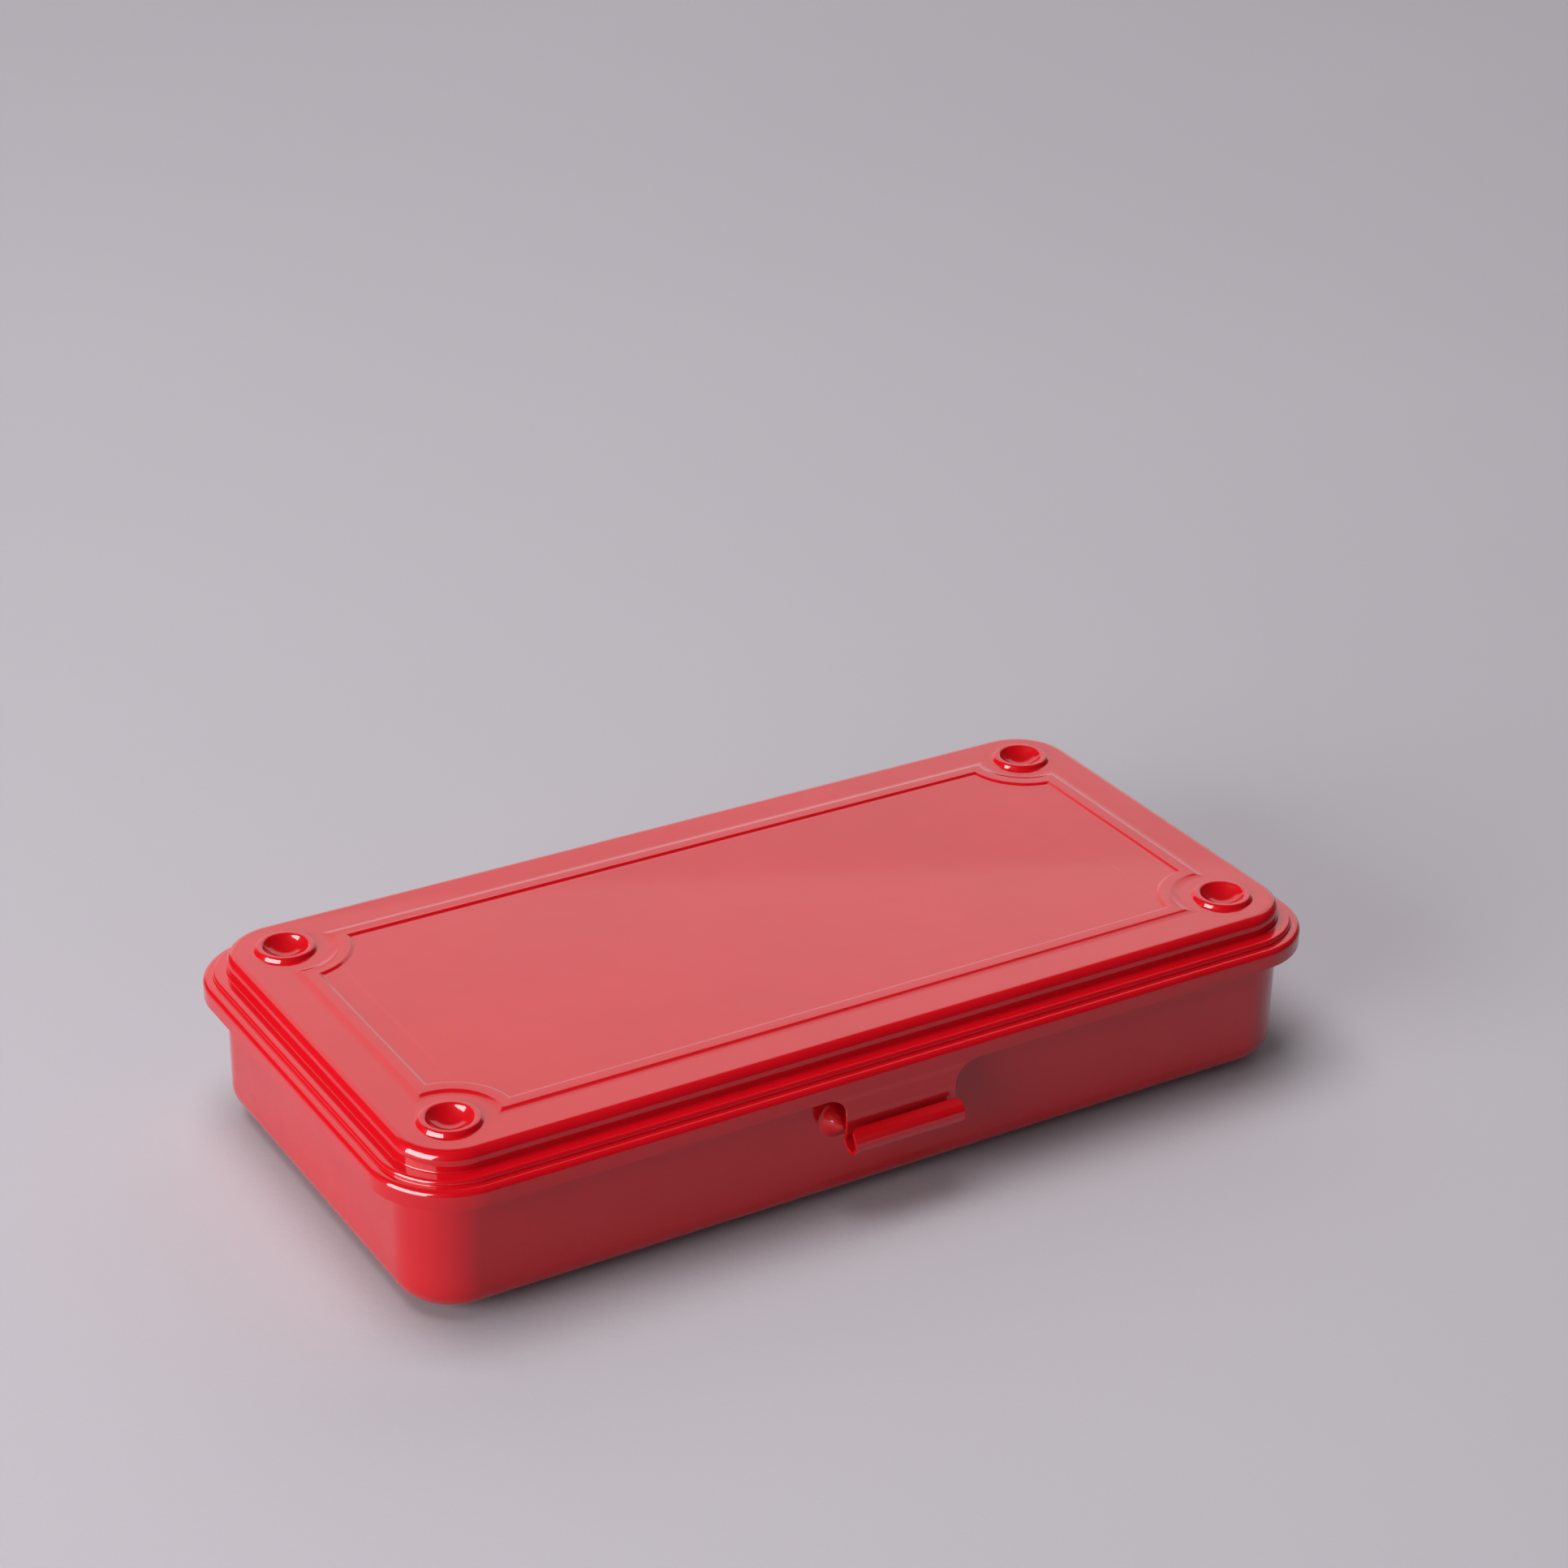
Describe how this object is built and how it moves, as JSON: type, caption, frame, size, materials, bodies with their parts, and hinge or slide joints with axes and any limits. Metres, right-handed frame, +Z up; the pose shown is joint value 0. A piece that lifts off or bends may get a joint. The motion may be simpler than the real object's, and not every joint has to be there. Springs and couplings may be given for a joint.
{
  "type": "lunch box",
  "caption": "Shallow hinged box of pressed enamelled steel: drawn tray, drawn lid with corner stacking rings and border rib, and a snap latch tab with a curled finger edge.",
  "frame": {"origin": "on the surface the four pressed feet rest on, under the middle of the whole box, latch curl and hinges included", "axes": "+X along the box's length, -Y towards the latch, +Y towards the hinges, +Z up"},
  "size_m": [0.203, 0.1099, 0.0365],
  "materials": {
    "lid_enamel": "gloss red enamel",
    "tray_enamel": "gloss red enamel",
    "leaf_enamel": "gloss red enamel",
    "pin_steel": "plain drawn wire"
  },
  "bodies": {
    "tray": {"body_tray": "tray_enamel", "hinge_body_leaf_left": "leaf_enamel", "hinge_body_leaf_right": "leaf_enamel", "hinge_pin_left": "pin_steel", "hinge_pin_right": "pin_steel"},
    "lid": {"lid_shell": "lid_enamel", "hinge_lid_leaf_left": "leaf_enamel", "hinge_lid_leaf_right": "leaf_enamel"}
  },
  "joints": [
    {"name": "lid_hinge", "type": "hinge", "parent": "tray", "child": "lid", "pos_m": [0, 0.05328, 0.0259], "axis": [-1, 0, 0], "range_deg": [0, 110]}
  ]
}
